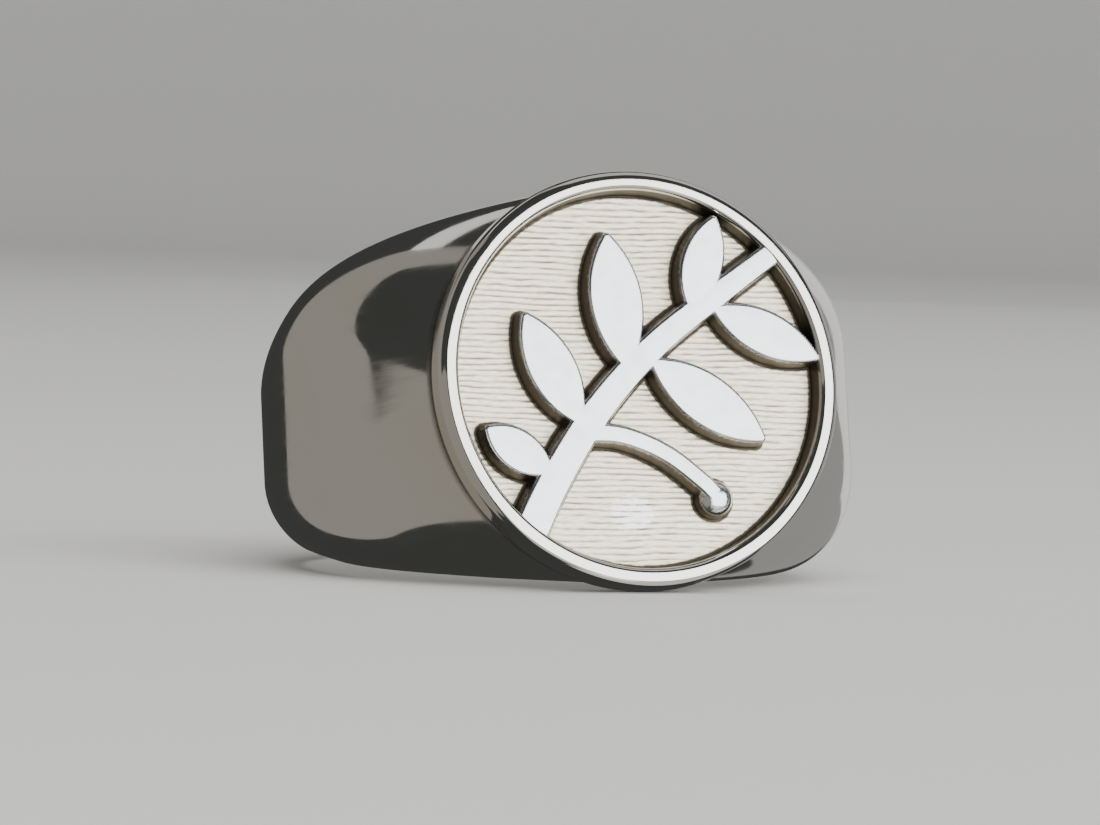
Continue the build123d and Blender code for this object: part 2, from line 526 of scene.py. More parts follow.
class Recipe(Desk):
    """A Geometry Nodes tree under construction, with named inputs."""

    def __init__(self, name: str) -> None:
        """Start a tree that takes and gives one geometry."""
        super().__init__(bpy.data.node_groups.new(name, "GeometryNodeTree"))
        for direction in ("INPUT", "OUTPUT"):
            self.tree.interface.new_socket("Geometry", in_out=direction, socket_type="NodeSocketGeometry")
        self.start = self.node("NodeGroupInput")
        self.end = self.node("NodeGroupOutput")

    def size(self, name: str, kind: str = "NodeSocketFloat") -> Amount:
        """Add a named input and return its value."""
        self.tree.interface.new_socket(name, in_out="INPUT", socket_type=kind)
        return Amount(self, self.start.outputs[name])

    def noise(self, vector: bpy.types.NodeSocket, seed: Amount, detail: float) -> Amount:
        """Seeded noise from 0 to 1 about a middle of 0.5."""
        made = self.node("ShaderNodeTexNoise", {"noise_dimensions": "4D"},
                         {"Vector": vector, "W": seed, "Scale": 1.0, "Detail": detail})
        return Amount(self, made.outputs[0])

    def close(self, geometry: bpy.types.NodeSocket, material: Amount) -> None:
        """End the tree in Realize Instances and Set Material."""
        real = self.node("GeometryNodeRealizeInstances", None, {"Geometry": geometry})
        dressed = self.node("GeometryNodeSetMaterial", None,
                            {"Geometry": real.outputs[0], "Material": material})
        self.feed(self.end.inputs[0], dressed.outputs[0])


def bake_recipe(name: str, mesh: bpy.types.Mesh, recipe: Recipe, values: dict[str, object]) -> bpy.types.Mesh:
    """Run a tree on a mesh once and keep the plain result.

    Args:
        name: Name of the new mesh.
        mesh: What the tree starts from.
        recipe: The tree.
        values: Its inputs by name.

    Returns:
        The baked mesh. The modifier and the helper object are gone.
    """
    helper = bpy.data.objects.new(f"{name}_blank", mesh)
    bpy.context.scene.collection.objects.link(helper)
    modifier = helper.modifiers.new(recipe.tree.name, "NODES")
    modifier.node_group = recipe.tree
    for item in recipe.tree.interface.items_tree:
        if item.in_out == "INPUT" and item.name in values:
            modifier[item.identifier] = values[item.name]
    graph = bpy.context.evaluated_depsgraph_get()
    result = bpy.data.meshes.new_from_object(helper.evaluated_get(graph))
    result.name = name
    helper.modifiers.remove(modifier)
    bpy.data.objects.remove(helper)
    return result


# ---------------------------------------------------------------- rim


@dataclass(frozen=True)
class BezelRim:
    """The raised rim, a profile led round the face."""

    bench: Bench
    outer_radius: float
    seat_height: float
    crest_height: float
    ground_height: float
    foot_radius: float
    crest_radius: float = 8.12
    inner_radius: float = 7.86
    inner_drop: float = 0.22
    foot_break: float = 0.06
    crest_fullness: float = 0.75
    wall_steps: int = 6
    crest_steps: int = 12
    dip_steps: int = 9
    turns: int = 360
    waver: float = 0.02
    waver_scale: float = 0.35
    foot_shadow: float = 0.3
    inner_shadow: tuple[float, float] = (0.02, 0.34)
    sharp_angle: float = 50.0

    @classmethod
    def from_frame(cls, bench: Bench, nodes: dict[str, bpy.types.Object]) -> "BezelRim":
        """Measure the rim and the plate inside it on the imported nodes."""
        low, high = bench.node_box(nodes["bezel_rim"])
        _, plate = bench.node_box(nodes["face_plate"])
        return cls(bench, high[0], low[2], high[2], plate[2], plate[0])

    def profile(self) -> list[tuple[float, float]]:
        """Radius and height of the rim's outline, from the seat up the outside and down the inside."""
        bend = self.outer_radius - self.crest_radius
        shoulder = self.crest_height - bend
        foot = self.seat_height + self.foot_break
        points = [(self.foot_radius, self.seat_height),
                  (self.outer_radius - self.foot_break, self.seat_height)]
        for step in range(self.wall_steps):
            share = step / self.wall_steps
            points.append((self.outer_radius, foot + share * (shoulder - foot)))
        for step in range(self.crest_steps + 1):
            turn = math.radians(90 * step / self.crest_steps)
            points.append((self.crest_radius + bend * math.cos(turn) ** self.crest_fullness,
                           shoulder + bend * math.sin(turn) ** self.crest_fullness))
        run = self.crest_radius - self.inner_radius
        bow = (run**2 + self.inner_drop**2) / (2 * self.inner_drop)
        sweep = math.asin(run / bow)
        for step in range(1, self.dip_steps + 1):
            turn = sweep * step / self.dip_steps
            points.append((self.crest_radius - bow * math.sin(turn),
                           self.crest_height - bow * (1 - math.cos(turn))))
        wall = self.crest_height - self.inner_drop - self.ground_height
        for step in range(1, self.wall_steps + 1):
            share = step / self.wall_steps
            points.append((self.inner_radius + (self.foot_radius - self.inner_radius) * share,
                           self.ground_height + wall * (1 - share)))
        return points

    def recipe(self) -> Recipe:
        """Tree that leads the profile round a circle and lets the hand-made crest waver."""
        recipe = Recipe("lead_rim_round")
        radius = recipe.size("Radius")
        turns = recipe.size("Turns", "NodeSocketInt")
        waver = recipe.size("Waver")
        seed = recipe.size("Seed")
        material = recipe.size("Material", "NodeSocketMaterial")
        circle = recipe.node("GeometryNodeCurvePrimitiveCircle", None,
                             {"Radius": radius, "Resolution": turns})
        outline = recipe.node("GeometryNodeMeshToCurve", None, {"Mesh": recipe.start.outputs[0]})
        swept = recipe.node("GeometryNodeCurveToMesh", None,
                            {"Curve": circle.outputs[0], "Profile Curve": outline.outputs[0]})
        noise = recipe.node("ShaderNodeTexNoise", {"noise_dimensions": "4D"},
                            {"W": seed, "Scale": self.waver_scale, "Detail": 1.0})
        centred = recipe.node("ShaderNodeVectorMath", {"operation": "SUBTRACT"},
                              {0: noise.outputs["Color"], 1: (0.5, 0.5, 0.5)})
        shift = recipe.node("ShaderNodeVectorMath", {"operation": "SCALE"},
                            {0: centred.outputs[0], "Scale": waver})
        moved = recipe.node("GeometryNodeSetPosition", None,
                            {"Geometry": swept.outputs[0], "Offset": shift.outputs[0]})
        recipe.close(moved.outputs[0], material)
        return recipe

    def make(self, material: bpy.types.Material) -> None:
        """Make the rim."""
        profile = self.profile()
        blank = bpy.data.meshes.new("rim_profile")
        middle = self.crest_radius
        count = len(profile)
        edges = [(index, (index + 1) % count) for index in range(count)]
        blank.from_pydata([(radius - middle, -height, 0) for radius, height in profile], edges, [])
        values = {"Radius": middle, "Turns": self.turns, "Waver": self.waver, "Seed": 7.0,
                  "Material": material}
        mesh = bake_recipe("bezel_rim_bead", blank, self.recipe(), values)
        face_outwards(mesh)
        keep_bench_places(mesh)
        places = vertex_places(mesh)
        # Painted shade with patina: the rim is darkened down its inner wall and at its outer foot on the
        # band.
        inner = np.hypot(places[:, 0], places[:, 1]) < self.crest_radius
        inner_wall = ramp(self.crest_height - places[:, 2], *self.inner_shadow)
        outer_foot = ramp(places[:, 2] - self.seat_height, self.foot_shadow, 0.0)
        keep_tarnish_and_shade(mesh, np.where(inner, inner_wall, outer_foot))
        lay_baked(mesh, self.bench, self.sharp_angle)
        add_piece(mesh, "bezel_rim")


def face_outwards(mesh: bpy.types.Mesh) -> None:
    """Turn a closed mesh inside out if its faces look inwards."""
    work = bmesh.new()
    work.from_mesh(mesh)
    if work.calc_volume(signed=True) < 0:
        bmesh.ops.reverse_faces(work, faces=work.faces[:])
        work.to_mesh(mesh)
    work.free()


# ---------------------------------------------------------------- relief outlines


@dataclass(frozen=True)
class Stroke:
    """A curved stroke with round ends, given by the points of its middle line and its end widths."""

    route: tuple[tuple[float, float], ...]
    start_width: float
    end_width: float

    def outline(self, spacing: float) -> np.ndarray:
        """Closed outline of the stroke, anticlockwise.

        Args:
            spacing: Distance between the points along it.

        Returns:
            Bench X and Y of the outline's points.
        """
        middle = smooth_line(np.array(self.route), spacing)
        run = np.gradient(middle, axis=0)
        run /= np.linalg.norm(run, axis=1, keepdims=True)
        aside = np.stack([-run[:, 1], run[:, 0]], axis=1)
        half = np.linspace(self.start_width, self.end_width, len(middle))[:, None] / 2
        left = middle + aside * half
        right = middle - aside * half
        end = round_end(middle[-1], right[-1], spacing)
        start = round_end(middle[0], left[0], spacing)
        return np.concatenate([right, end, left[::-1], start])


@dataclass(frozen=True)
class Leaf:
    """A leaf with two evenly curved sides, from its base on the stem to a blunt tip."""

    base: tuple[float, float]
    angle: float
    length: float
    width: float
    tip_round: float = 0.35

    def outline(self, spacing: float) -> np.ndarray:
        """Closed outline of the leaf, anticlockwise.

        Args:
            spacing: Distance between the points along it.

        Returns:
            Bench X and Y of the outline's points.
        """
        belly = 0.45 * self.length
        upper = arc_through((self.length, 0), (belly, self.width / 2), (0, 0), spacing)
        lower = upper[::-1] * np.array([1, -1])
        sharp = np.concatenate([lower[:-1], upper[:-1]])
        blunt = soften_corner(sharp, np.array([self.length, 0]), self.tip_round, spacing)
        turn = math.radians(self.angle)
        spin = np.array([[math.cos(turn), math.sin(turn)], [-math.sin(turn), math.cos(turn)]])
        return blunt @ spin + np.array(self.base)


@dataclass(frozen=True)
class Berry:
    """A round berry with a domed top."""

    centre: tuple[float, float]
    radius: float

    def outline(self, spacing: float) -> np.ndarray:
        """Closed circle of the berry's foot, anticlockwise."""
        return circle(self.centre, self.radius, spacing)


def circle(centre: tuple[float, float], radius: float, spacing: float) -> np.ndarray:
    """Points of a circle, anticlockwise and evenly spaced."""
    count = math.ceil(2 * math.pi * radius / spacing)
    turn = np.arange(count) * 2 * math.pi / count
    return np.stack([np.cos(turn), np.sin(turn)], axis=1) * radius + np.array(centre)


def smooth_line(route: np.ndarray, spacing: float) -> np.ndarray:
    """A smooth line through the route's points, evenly spaced."""
    padded = np.concatenate([2 * route[:1] - route[1:2], route, 2 * route[-1:] - route[-2:-1]])
    share = np.linspace(0, 1, 24, endpoint=False)[:, None]
    pieces = []
    for index in range(len(route) - 1):
        before, here, after, beyond = padded[index:index + 4]
        pieces.append(here + 0.5 * share * (after - before + share * (
            2 * before - 5 * here + 4 * after - beyond + share * (3 * (here - after) + beyond - before))))
    line = np.concatenate(pieces + [route[-1:]])
    return respaced(line, spacing)


def respaced(line: np.ndarray, spacing: float) -> np.ndarray:
    """The same open line with evenly spaced points."""
    along = np.concatenate([[0], np.cumsum(np.linalg.norm(np.diff(line, axis=0), axis=1))])
    places = np.linspace(0, along[-1], max(3, math.ceil(along[-1] / spacing) + 1))
    return np.stack([np.interp(places, along, line[:, axis]) for axis in range(2)], axis=1)


def round_end(centre: np.ndarray, start: np.ndarray, spacing: float) -> np.ndarray:
    """The inner points of an anticlockwise half circle from start round a centre."""
    arm = start - centre
    radius = float(np.linalg.norm(arm))
    count = max(6, math.ceil(math.pi * radius / spacing))
    turn = np.arange(1, count) * math.pi / count
    aside = np.array([-arm[1], arm[0]])
    return centre + np.cos(turn)[:, None] * arm + np.sin(turn)[:, None] * aside


def arc_through(first: tuple[float, float], middle: tuple[float, float], last: tuple[float, float],
                spacing: float) -> np.ndarray:
    """Evenly spaced points of the arc through three points that turns anticlockwise."""
    (ax, ay), (bx, by), (cx, cy) = first, middle, last
    double = 2 * (ax * (by - cy) + bx * (cy - ay) + cx * (ay - by))
    squares = (ax**2 + ay**2, bx**2 + by**2, cx**2 + cy**2)
    x = (squares[0] * (by - cy) + squares[1] * (cy - ay) + squares[2] * (ay - by)) / double
    y = (squares[0] * (cx - bx) + squares[1] * (ax - cx) + squares[2] * (bx - ax)) / double
    radius = math.hypot(ax - x, ay - y)
    start = math.atan2(ay - y, ax - x)
    sweep = (math.atan2(cy - y, cx - x) - start) % (2 * math.pi)
    turn = start + np.linspace(0, sweep, max(4, math.ceil(sweep * radius / spacing)))
    return np.stack([x + radius * np.cos(turn), y + radius * np.sin(turn)], axis=1)


def soften_corner(outline: np.ndarray, corner: np.ndarray, radius: float, spacing: float) -> np.ndarray:
    """Replace a closed outline's sharp corner with an arc tangent to both sides.

    Args:
        outline: Closed outline, anticlockwise.
        corner: Its sharp point.
        radius: Radius of the arc.
        spacing: Distance between the arc's points.

    Returns:
        The outline, which starts just after the arc.
    """
    index = int(np.argmin(np.linalg.norm(outline - corner, axis=1)))
    rolled = np.roll(outline, -index, axis=0)
    onwards = rolled[1] - rolled[0]
    back = rolled[-1] - rolled[0]
    onwards /= np.linalg.norm(onwards)
    back /= np.linalg.norm(back)
    half = math.acos(float(np.clip(onwards @ back, -1, 1))) / 2
    set_back = radius / math.tan(half)
    bisector = (onwards + back) / np.linalg.norm(onwards + back)
    centre = corner + bisector * radius / math.sin(half)
    kept = rolled[1:][np.linalg.norm(rolled[1:] - corner, axis=1) > set_back]
    start = corner + back * set_back - centre
    sweep = math.pi - 2 * half
    turn = np.linspace(0, sweep, max(5, math.ceil(sweep * radius / spacing)))
    aside = np.array([-start[1], start[0]])
    arc = centre + np.cos(turn)[:, None] * start + np.sin(turn)[:, None] * aside
    return np.concatenate([kept, arc])


def depth_in(points: np.ndarray, outline: np.ndarray) -> np.ndarray:
    """Distance of each point to an outline, positive inside it.

    Args:
        points: Bench X and Y of the points.
        outline: Closed outline.

    Returns:
        One distance for each point.
    """
    nearest = np.full(len(points), np.inf)
    inside = np.zeros(len(points), bool)
    for start, end in zip(outline, np.roll(outline, -1, axis=0)):
        run = end - start
        offset = points - start
        share = np.clip(offset @ run / (run @ run), 0, 1)
        nearest = np.minimum(nearest, np.sum((offset - share[:, None] * run) ** 2, axis=1))
        crosses = (start[1] > points[:, 1]) != (end[1] > points[:, 1])
        if run[1] != 0:
            inside ^= crosses & (offset[:, 0] < run[0] * offset[:, 1] / run[1])
    return np.where(inside, 1, -1) * np.sqrt(nearest)


SPRIG: dict[str, Stroke | Leaf | Berry] = {
    "sprig_stem": Stroke(((-5.2, -6.6), (-3.9, -4.2), (-1.9, -1.3), (0.7, 1.4), (3.6, 3.6), (6.4, 5.6)),
                         1.7, 1.15),
    "sprig_berry": Berry((3.1, -4.9), 0.82),
    "sprig_leaf_first": Leaf((-3.9, -4.1), 146, 3.7, 1.9),
    "sprig_leaf_second": Leaf((-2.6, -2.2), 116, 5.6, 2.3),
    "sprig_leaf_third": Leaf((-0.6, 0.1), 96, 6.2, 2.5),
    "sprig_leaf_fourth": Leaf((2.2, 2.6), 72, 4.7, 2.0),
    "sprig_leaf_fifth": Leaf((3.0, 3.1), -24, 5.6, 2.1),
    "sprig_leaf_sixth": Leaf((0.2, 0.9), -34, 6.4, 2.4),
    "sprig_berry_stalk": Stroke(((-2.6, -2.3), (-0.9, -2.4), (0.9, -3.1), (2.4, -4.2), (3.1, -4.9)),
                                1.0, 0.9),
}


@dataclass(frozen=True)
class Relief:
    """The applied sprig: pieces with leaning walls, softly rounded edges and flat polished tops."""

    bench: Bench
    ground_height: float
    top_height: float
    clip_radius: float
    wall_lean: float = 0.09
    edge_round: float = 0.17
    dome: float = 0.025
    dome_reach: float = 0.35
    sunk: float = 0.04
    wall_share: float = 0.86
    berry_shoulder: float = 2.4
    berry_fullness: float = 2.2
    wall_shadow: float = 0.26
    outline_spacing: float = 0.07
    inner_spacing: float = 0.13
    rings: tuple[float, ...] = (0.5, 1.0, 1.3, 1.65, 2.1, 2.9)
    ring_clearance: float = 0.06

    @classmethod
    def from_frame(cls, bench: Bench, nodes: dict[str, bpy.types.Object]) -> "Relief":
        """Measure the relief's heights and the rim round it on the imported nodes."""
        low, high = bench.node_box(nodes["sprig_stem"])
        _, plate = bench.node_box(nodes["face_plate"])
        rim_overlap = 0.22
        return cls(bench, low[2], high[2], plate[0] + rim_overlap)

    def outlines(self) -> dict[str, np.ndarray]:
        """Foot outline of each piece by name."""
        return {name: shape.outline(self.outline_spacing) for name, shape in SPRIG.items()}

    def height_at(self, depth: np.ndarray) -> np.ndarray:
        """Height of the surface above the ground at a depth inside the outline."""
        tall = self.top_height - self.ground_height - self.dome
        wall = tall * self.wall_share
        share = np.clip((depth - self.wall_lean) / self.edge_round, 0, 1)
        rounded = (tall - wall) * (1 - (1 - share) ** 3)
        swell = self.dome * (1 - np.exp(-np.maximum(depth - self.wall_lean - self.edge_round, 0)
                                        / self.dome_reach))
        return np.minimum(depth / self.wall_lean, 1) * wall + rounded + swell

    def berry_height(self, points: np.ndarray) -> np.ndarray:
        """Height of the berry's dome above the ground."""
        berry = SPRIG["sprig_berry"]
        share = np.linalg.norm(points - np.array(berry.centre), axis=1) / berry.radius
        tall = self.top_height - self.ground_height
        return tall * np.clip(1 - share**self.berry_shoulder, 0, 1) ** (1 / self.berry_fullness)

    def heights(self, points: np.ndarray, outlines: dict[str, np.ndarray]) -> tuple[np.ndarray, np.ndarray]:
        """Surface height and depth inside the sprig.

        Args:
            points: Bench X and Y of the points.
            outlines: Foot outlines by name.

        Returns:
            Height above the ground, and the depth inside the joined outline.
        """
        depth = np.full(len(points), -np.inf)
        for name, outline in outlines.items():
            if name != "sprig_berry":
                depth = np.maximum(depth, depth_in(points, outline))
        flat = self.height_at(np.maximum(depth, 0))
        berry = self.berry_height(points)
        berry_depth = depth_in(points, outlines["sprig_berry"])
        return np.maximum(flat, berry), np.maximum(depth, berry_depth)

    def sheet(self, outlines: dict[str, np.ndarray]) -> tuple[np.ndarray, list, list]:
        """Triangulate the whole sprig in plan, with points along its walls and edges.

        Args:
            outlines: Foot outlines by name.

        Returns:
            The points, the triangles, and the names of the pieces that each triangle lies in.
        """
        points: list[tuple[float, float]] = []
        loops = []
        for outline in [*outlines.values(), circle((0, 0), self.clip_radius, self.outline_spacing)]:
            loops.append(list(range(len(points), len(points) + len(outline))))
            points.extend(map(tuple, outline))
        depths = [self.wall_lean * ring for ring in self.rings]
        for outline in outlines.values():
            points.extend(map(tuple, self._rings(outline, depths)))
        reach = np.arange(-self.clip_radius, self.clip_radius, self.inner_spacing)
        grid = np.stack(np.meshgrid(reach, reach), axis=-1).reshape(-1, 2)
        _, depth = self.heights(grid, outlines)
        points.extend(map(tuple, grid[depth > depths[-1] + self.ring_clearance]))
        flat, _, triangles, _, _, owners = delaunay_2d_cdt(
            [Vector(point) for point in points], [], loops, 0, 1e-5, True)
        names = list(outlines)
        inside = [[names[loop] for loop in owner if loop < len(names)] if len(names) in owner else []
                  for owner in owners]
        return np.array([tuple(point) for point in flat]), triangles, inside

    def _rings(self, outline: np.ndarray, depths: list[float]) -> np.ndarray:
        """Points at given depths inside an outline, along its normals."""
        run = np.roll(outline, -1, axis=0) - np.roll(outline, 1, axis=0)
        inwards = np.stack([-run[:, 1], run[:, 0]], axis=1)
        inwards /= np.linalg.norm(inwards, axis=1, keepdims=True)
        rings = np.concatenate([outline + inwards * depth for depth in depths])
        wanted = np.repeat(depths, len(outline))
        found = depth_in(rings, outline)
        return rings[found > wanted - 0.01]

    def normals(self, points: np.ndarray, outlines: dict[str, np.ndarray]) -> np.ndarray:
        """Outward normals of the relief's surface, from its slope."""
        step = 0.012
        slopes = []
        for axis in range(2):
            shift = np.zeros(2)
            shift[axis] = step
            ahead, _ = self.heights(points + shift, outlines)
            behind, _ = self.heights(points - shift, outlines)
            slopes.append((behind - ahead) / (2 * step))
        normals = np.stack([*slopes, np.ones(len(points))], axis=1)
        return normals / np.linalg.norm(normals, axis=1, keepdims=True)

    def make(self, material: bpy.types.Material) -> None:
        """Make every piece of the sprig."""
        outlines = self.outlines()
        points, triangles, inside = self.sheet(outlines)
        heights, depth = self.heights(points, outlines)
        normals = self.normals(points, outlines)
        places = np.column_stack([points, self.ground_height + heights])
        for name in outlines:
            earlier = list(outlines)[:list(outlines).index(name)]
            mine = [triangle for triangle, names in zip(triangles, inside)
                    if name in names and not set(names) & set(earlier)]
            shell = self._closed(places, normals, depth, mine)
            add_piece(shell.to_mesh(f"{name}_relief", self.bench, material), name)

    def _closed(self, places: np.ndarray, normals: np.ndarray, depth: np.ndarray,
                triangles: list[tuple[int, ...]]) -> Shell:
        """Close a patch of the sheet with walls and a floor just under the ground.

        Args:
            places: Bench places of the sheet's points.
            normals: Their normals.
            depth: Their depth inside the sprig.
            triangles: The patch.

        Returns:
            The closed shell.
        """
        used = sorted({index for triangle in triangles for index in triangle})
        number = {index: place for place, index in enumerate(used)}
        top = [tuple(number[index] for index in triangle) for triangle in triangles]
        edges = {(face[side], face[(side + 1) % 3]) for face in top for side in range(3)}
        border = [edge for edge in edges if edge[::-1] not in edges]
        count = len(used)
        upper = places[used]
        lower = upper.copy()
        lower[:, 2] = self.ground_height - self.sunk
        floor = [tuple(index + count for index in reversed(face)) for face in top]
        walls = [(end, start, start + count, end + count) for start, end in border]
        flat = floor + walls
        # Painted shade with patina: each piece is darkened down its walls, fading out a little way in from
        # its outline.
        return Shell(np.concatenate([upper, lower]), top + flat, np.concatenate([normals[used]] * 2),
                     len(flat), ramp(np.concatenate([depth[used]] * 2), self.wall_shadow, 0.0))


# ---------------------------------------------------------------- ground


@dataclass(frozen=True)
class FacePlate:
    """The sunk disc under the relief, lined across by hand."""

    bench: Bench
    radius: float
    seat_height: float
    ground_height: float
    rows: int = 310
    columns: int = 96
    rim_overlap: float = 0.05
    line_pitch: float = 0.25
    line_depth: float = 0.012
    wander: float = 0.5
    foot_shadow: float = 0.27
    sharp_angle: float = 60.0

    @classmethod
    def from_frame(cls, bench: Bench, nodes: dict[str, bpy.types.Object]) -> "FacePlate":
        """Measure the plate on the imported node."""
        low, high = bench.node_box(nodes["face_plate"])
        return cls(bench, high[0], low[2], high[2])

    def blank(self) -> bpy.types.Mesh:
        """The plain disc, closed, with rows of points along the lines."""
        reach = self.radius + self.rim_overlap
        up = np.linspace(-0.998, 0.998, self.rows) * reach
        across = np.linspace(-1, 1, self.columns)
        x = across[None, :] * np.sqrt(reach**2 - up**2)[:, None]
        top = np.stack([x, np.broadcast_to(up[:, None], x.shape),
                        np.full(x.shape, self.ground_height)], axis=-1).reshape(-1, 3)
        grid = np.arange(self.rows * self.columns).reshape(self.rows, self.columns)
        corners = np.stack([grid[:-1, :-1], grid[:-1, 1:], grid[1:, 1:], grid[1:, :-1]], axis=-1)
        border = np.concatenate([grid[0, :], grid[1:, -1], grid[-1, -2::-1], grid[-2:0:-1, 0]])
        below = top[border].copy()
        below[:, 2] = self.seat_height
        count = len(border)
        lower = np.arange(count) + len(top)
        walls = np.stack([np.roll(border, -1), border, lower, np.roll(lower, -1)], axis=-1)
        faces = corners.reshape(-1, 4).tolist() + walls.tolist() + [lower[::-1].tolist()]
        mesh = bpy.data.meshes.new("face_plate_blank")
        mesh.from_pydata(np.concatenate([top, below]).tolist(), [], faces)
        return mesh

    def recipe(self) -> Recipe:
        """Tree that sinks fine wandering lines into the top of the disc."""
        recipe = Recipe("line_the_ground")
        pitch = recipe.size("Pitch")
        depth = recipe.size("Depth")
        wander = recipe.size("Wander")
        level = recipe.size("Level")
        seed = recipe.size("Seed")
        material = recipe.size("Material", "NodeSocketMaterial")
        place = recipe.node("GeometryNodeInputPosition").outputs[0]
        _, y, z = recipe.split(place)
        drift = recipe.noise(recipe.scaled(place, (0.22, 0.5, 1.0)), seed, 2.0)
        wave = ((y + (drift - 0.5) * wander) / pitch * (2 * math.pi)).sine()
        patches = recipe.noise(recipe.scaled(place, (0.9, 2.2, 1.0)), seed + 3.0, 1.0)
        streaks = recipe.noise(recipe.scaled(place, (1.3, 7.5, 1.0)), seed + 6.0, 3.0)
        height = wave * (0.25 + patches * 1.1) + (streaks - 0.5) * 4.6
        offset = recipe.node("ShaderNodeCombineXYZ", None, {"Z": (height - 1.0) * depth})
        lined = recipe.node("GeometryNodeSetPosition", None,
                            {"Geometry": recipe.start.outputs[0], "Selection": z > level - 0.01,
                             "Offset": offset.outputs[0]})
        recipe.close(lined.outputs[0], material)
        return recipe

    def make(self, material: bpy.types.Material, relief: Relief) -> None:
        """Make the lined disc.

        Args:
            material: Its finish.
            relief: The sprig, round whose foot the ground is darkened with patina and painted shade.
        """
        values = {"Pitch": self.line_pitch, "Depth": self.line_depth, "Wander": self.wander,
                  "Level": self.ground_height, "Seed": 11.0, "Material": material}
        mesh = bake_recipe("face_plate_lined", self.blank(), self.recipe(), values)
        keep_bench_places(mesh)
        places = vertex_places(mesh)
        # Painted shade with patina: the ground is darkened round the foot of the sprig and along the rim.
        _, depth = relief.heights(places[:, :2].astype(float), relief.outlines())
        to_rim = self.radius - np.hypot(places[:, 0], places[:, 1])
        keep_tarnish_and_shade(mesh, ramp(np.minimum(-depth, to_rim), self.foot_shadow, 0.0))
        lay_baked(mesh, self.bench, self.sharp_angle)
        add_piece(mesh, "face_plate")


# ---------------------------------------------------------------- finishes


class Pen(Desk):
    """Draws the nodes of one material."""

    def __init__(self, name: str) -> None:
        """Start a material with a Principled shader."""
        self.material = bpy.data.materials.new(name)
        self.material.use_nodes = True
        super().__init__(self.material.node_tree)
        self.shader = next(node for node in self.tree.nodes if node.type == "BSDF_PRINCIPLED")

    def bench(self) -> bpy.types.NodeSocket:
        """The bench place of the point, in millimetres."""
        return self.node("ShaderNodeAttribute", {"attribute_name": "bench"}).outputs["Vector"]

    def stretched(self, vector: bpy.types.NodeSocket, stretch: tuple[float, float, float],
                  turn: tuple[float, float, float]) -> bpy.types.NodeSocket:
        """The vector turned and then scaled along each axis."""
        turned = self.node("ShaderNodeMapping", {"vector_type": "TEXTURE"},
                           {"Vector": vector, "Rotation": turn})
        return self.scaled(turned.outputs[0], stretch)

    def noise(self, vector: bpy.types.NodeSocket, scale: float = 1.0, detail: float = 2.0) -> Amount:
        """Noise from 0 to 1 about a middle of 0.5."""
        made = self.node("ShaderNodeTexNoise", None, {"Vector": vector, "Scale": scale, "Detail": detail})
        return Amount(self, made.outputs[0])

    def mix(self, share: Amount, first: object, second: object) -> bpy.types.NodeSocket:
        """Blend two colours by a share."""
        return self.node("ShaderNodeMix", {"data_type": "RGBA"}, {0: share, 6: first, 7: second}).outputs[2]

    def bump(self, height: Amount, depth: float) -> bpy.types.Node:
        """Raise the surface by a height of 0 to 1 times a depth in millimetres."""
        return self.node("ShaderNodeBump", None, {"Height": height, "Distance": depth * MM, "Strength": 1.0})

    def tarnished_and_shaded(self, grain: Amount, spread: float, low: float, high: float) -> Amount:
        """How dark the metal is, from the patina and painted shade on the piece's points, with a grainy edge.

        Args:
            grain: Noise that breaks the edge up.
            spread: How much it does.
            low: Darkening up to which the metal stays bright.
            high: Darkening from which it is fully dark.

        Returns:
            The darkness from 0 to 1.
        """
        tarnish = self.node("ShaderNodeAttribute", {"attribute_name": "tarnish"}).outputs["Fac"]
        return (Amount(self, tarnish) + (grain - 0.5) * spread).between(low, high)

    def finish(self, colour: bpy.types.NodeSocket, roughness: Amount, bump: bpy.types.Node
               ) -> bpy.types.Material:
        """Give the metal its colour, roughness and bump."""
        self.feed(self.shader.inputs["Base Color"], colour)
        self.feed(self.shader.inputs["Roughness"], roughness)
        self.feed(self.shader.inputs["Normal"], bump.outputs[0])
        self.shader.inputs["Metallic"].default_value = 1.0
        return self.material


@dataclass(frozen=True)
class HandPolish:
    """Hand-polished silver: bright, faintly wavy, finely scratched, dark in the creases from patina and
    painted shade.
    """

    name: str = "hand_polished_silver"
    silver: Colour = (0.90, 0.875, 0.83, 1)
    warm_film: Colour = (0.80, 0.74, 0.64, 1)
    tarnish: Colour = (0.11, 0.10, 0.08, 1)
    film_share: float = 0.3
    roughness: float = 0.065
    smear_roughness: float = 0.06
    tarnish_and_shade_roughness: float = 0.35
    scratch_depth: float = 0.00025
    wave_depth: float = 0.012

    def make(self) -> bpy.types.Material:
        """Build the material."""
        pen = Pen(self.name)
        place = pen.bench()
        blotch = pen.noise(place, scale=0.22, detail=3.0).between(0.42, 0.7)
        # Painted shade with patina: the dark colour goes where the piece's points are darkened.
        dark = pen.tarnished_and_shaded(pen.noise(place, scale=9.0, detail=3.0), 0.12, 0.5, 1.0)
        colour = pen.mix(blotch * self.film_share, self.silver, self.warm_film)
        smears = pen.noise(pen.scaled(place, (0.5, 2.6, 0.5)), detail=4.0).between(0.35, 0.75)
        along = pen.noise(pen.scaled(place, (0.3, 9.0, 0.3)), detail=3.0)
        slant = pen.noise(pen.stretched(place, (17.0, 0.9, 0.9), (0, 0.4, 0.7)))
        scratches = pen.bump((along + slant * 0.6) * 0.6, self.scratch_depth)
        waves = pen.bump(pen.noise(place, scale=0.35, detail=1.0), self.wave_depth)
        pen.feed(waves.inputs["Normal"], scratches.outputs[0])
        roughness = self.roughness + smears * self.smear_roughness + dark * self.tarnish_and_shade_roughness
        return pen.finish(pen.mix(dark, colour, self.tarnish), roughness, waves)


